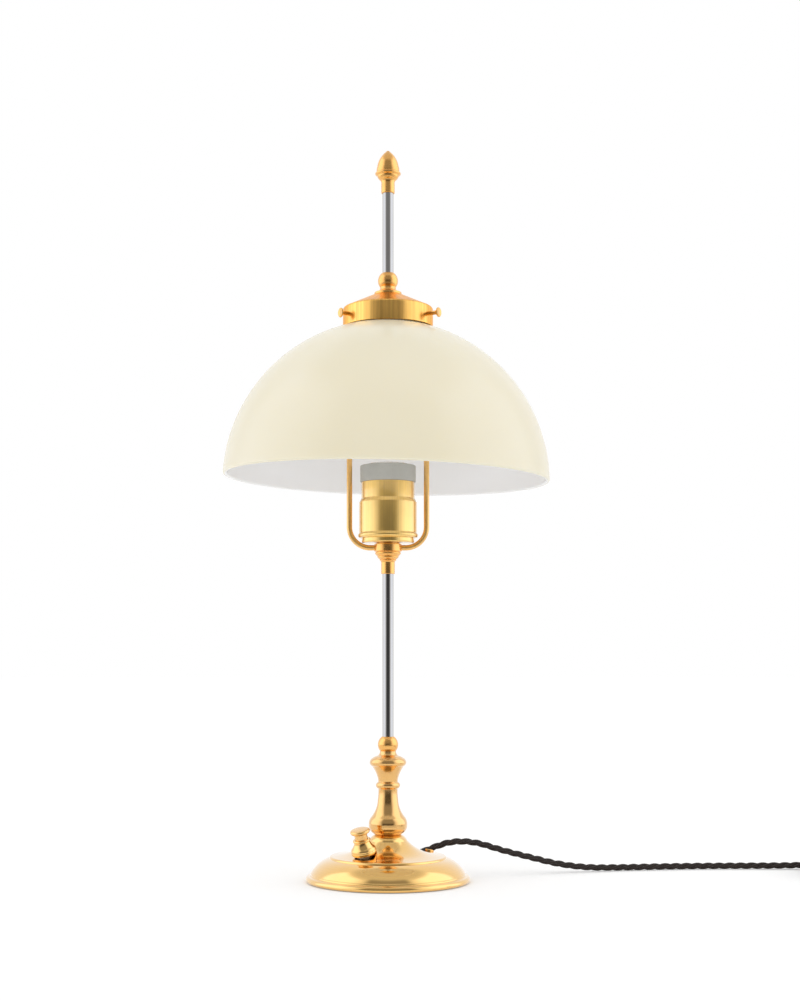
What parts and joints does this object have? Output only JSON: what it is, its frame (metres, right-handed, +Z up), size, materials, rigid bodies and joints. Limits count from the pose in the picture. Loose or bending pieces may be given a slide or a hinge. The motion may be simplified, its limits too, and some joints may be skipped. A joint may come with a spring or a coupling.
{
  "type": "desk lamp",
  "caption": "Table lamp: stepped round brass base with push switch, turned stem, steel rods, bow round a screw lampholder, opal glass dome in a thumbscrew gallery, acorn finial, coiled cord.",
  "frame": {"origin": "on the table, under the middle of the round base", "axes": "+Z up along the stem, +X to the right as seen from the front, the cord leaves towards +X; +Y to the back"},
  "size_m": [0.5317, 0.2348, 0.5268],
  "materials": {
    "brass": "polished and lacquered",
    "brass_base": "polished, spun",
    "brass_holder": "pressed, polished",
    "brass_brushed": "polished with fine upright brushing",
    "brass_satin": "satin",
    "steel_rod": "polished",
    "steel": "zinc plated, satin",
    "nickel": "bright plated",
    "iron": "rough cast",
    "felt": "matt felt",
    "opal_glass": "opal glass, cream outside and white inside, glossy",
    "porcelain": "unglazed porcelain, matt",
    "cord_textile": "twisted textile",
    "dark_rubber": "matt",
    "dark_plastic": "fine grained, matt",
    "wire_brown": "smooth insulation",
    "wire_blue": "smooth insulation",
    "wire_green": "smooth insulation"
  },
  "bodies": {
    "lamp": {"base_pad": "felt", "base_cover_plate": "steel", "base_weight": "iron", "base_shell": "brass_base", "base_washer": "steel", "base_lock_nut": "steel", "base_tie_tube": "steel", "baluster": "brass", "lower_ball_nut": "brass", "lower_rod": "steel_rod", "bow_hub": "brass", "bow_rod_left": "brass", "bow_rod_right": "brass", "bow_top_boss": "brass", "gallery_stud": "steel", "lampholder_lower_shell": "brass_holder", "lampholder_upper_shell": "brass_holder", "porcelain_ring": "porcelain", "porcelain_insert": "porcelain", "screw_shell": "nickel", "centre_contact": "nickel", "terminal_screws": "nickel", "shade_gallery": "brass_brushed", "gallery_washer": "steel", "gallery_lock_nut": "steel", "gallery_ball_nut": "brass", "upper_rod": "steel_rod", "finial": "brass", "glass_shade": "opal_glass", "switch_bell": "brass_base", "switch_bush": "steel", "switch_nut": "steel", "switch_body": "dark_plastic", "switch_spring": "steel", "cord_grommet": "brass", "cord_inner_end": "cord_textile", "cord_clamp": "dark_plastic", "wire_live": "wire_brown", "wire_neutral": "wire_blue", "wire_earth": "wire_green", "wire_switch_feed": "wire_brown", "cord_lead": "cord_textile", "cord_coil": "cord_textile", "cord_tail": "cord_textile", "coil_tie": "dark_rubber", "plug_body": "dark_plastic", "plug_pins": "nickel", "plug_earth_clips": "nickel"},
    "button": {"switch_button": "brass_satin"},
    "screw_left": {"thumbscrew_left": "brass"},
    "screw_right": {"thumbscrew_right": "brass"},
    "screw_back": {"thumbscrew_back": "brass"}
  },
  "joints": [
    {"name": "switch_press", "type": "slide", "parent": "lamp", "child": "button", "axis": [0.1739, 0.2073, -0.9627], "range_m": [0, 0.003], "stiffness_N_per_m": 800, "springref_m": -0.002, "deforming": ["switch_spring"]},
    {"name": "thumbscrew_left_out", "type": "slide", "parent": "lamp", "child": "screw_left", "axis": [-0.866, -0.5, 0], "range_m": [0, 0.0043]},
    {"name": "thumbscrew_right_out", "type": "slide", "parent": "lamp", "child": "screw_right", "axis": [0.866, -0.5, 0], "range_m": [0, 0.0016]},
    {"name": "thumbscrew_back_out", "type": "slide", "parent": "lamp", "child": "screw_back", "axis": [0, 1, 0], "range_m": [0, 0.0029]}
  ]
}
